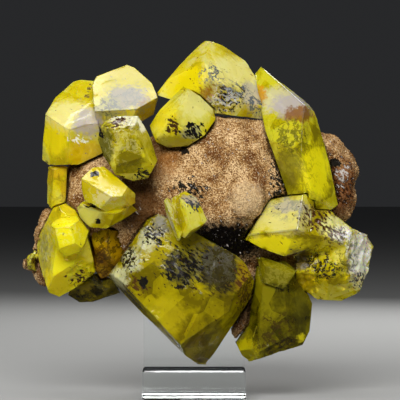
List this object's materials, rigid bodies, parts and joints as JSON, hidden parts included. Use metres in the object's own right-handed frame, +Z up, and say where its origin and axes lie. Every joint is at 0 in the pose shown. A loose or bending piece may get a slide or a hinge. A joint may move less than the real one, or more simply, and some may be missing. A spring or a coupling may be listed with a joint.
{
  "type": "native sulfur crystal specimen",
  "caption": "Cluster of translucent lemon-yellow sulfur crystals on a rounded, drusy rock matrix, leaning upright on a low clear display stand.",
  "frame": {"origin": "on the table, under the middle of the whole object's box", "axes": "+Z up, +X to the right of the specimen's show side, +Y from the show side to the back"},
  "size_m": [0.118, 0.048, 0.12],
  "materials": {
    "sulfur_yellow": "translucent, resinous lustre",
    "sulfur_olive": "translucent, darker, resinous lustre",
    "sulfur_amber": "translucent, resinous lustre",
    "matrix_rock": "rough drusy rock, tan with rust-brown and black patches",
    "clear_acrylic": "clear cast acrylic, polished"
  },
  "bodies": {
    "root": {"upper_left_pair": "sulfur_yellow", "olive_prism": "sulfur_olive", "left_bright_pair": "sulfur_yellow", "left_edge_crystal": "sulfur_yellow", "lower_left_pair": "sulfur_yellow", "amber_crystal": "sulfur_amber", "dark_lower_left_crystal": "sulfur_olive", "top_crystal": "sulfur_yellow", "top_front_crystal": "sulfur_yellow", "long_right_crystal": "sulfur_yellow", "right_cluster": "sulfur_yellow", "lower_right_crystal": "sulfur_olive", "great_crystal": "sulfur_yellow", "centre_twin": "sulfur_yellow", "tiny_left_crystal": "sulfur_yellow", "matrix": "matrix_rock", "stand_step": "clear_acrylic", "stand_riser": "clear_acrylic"}
  },
  "joints": []
}
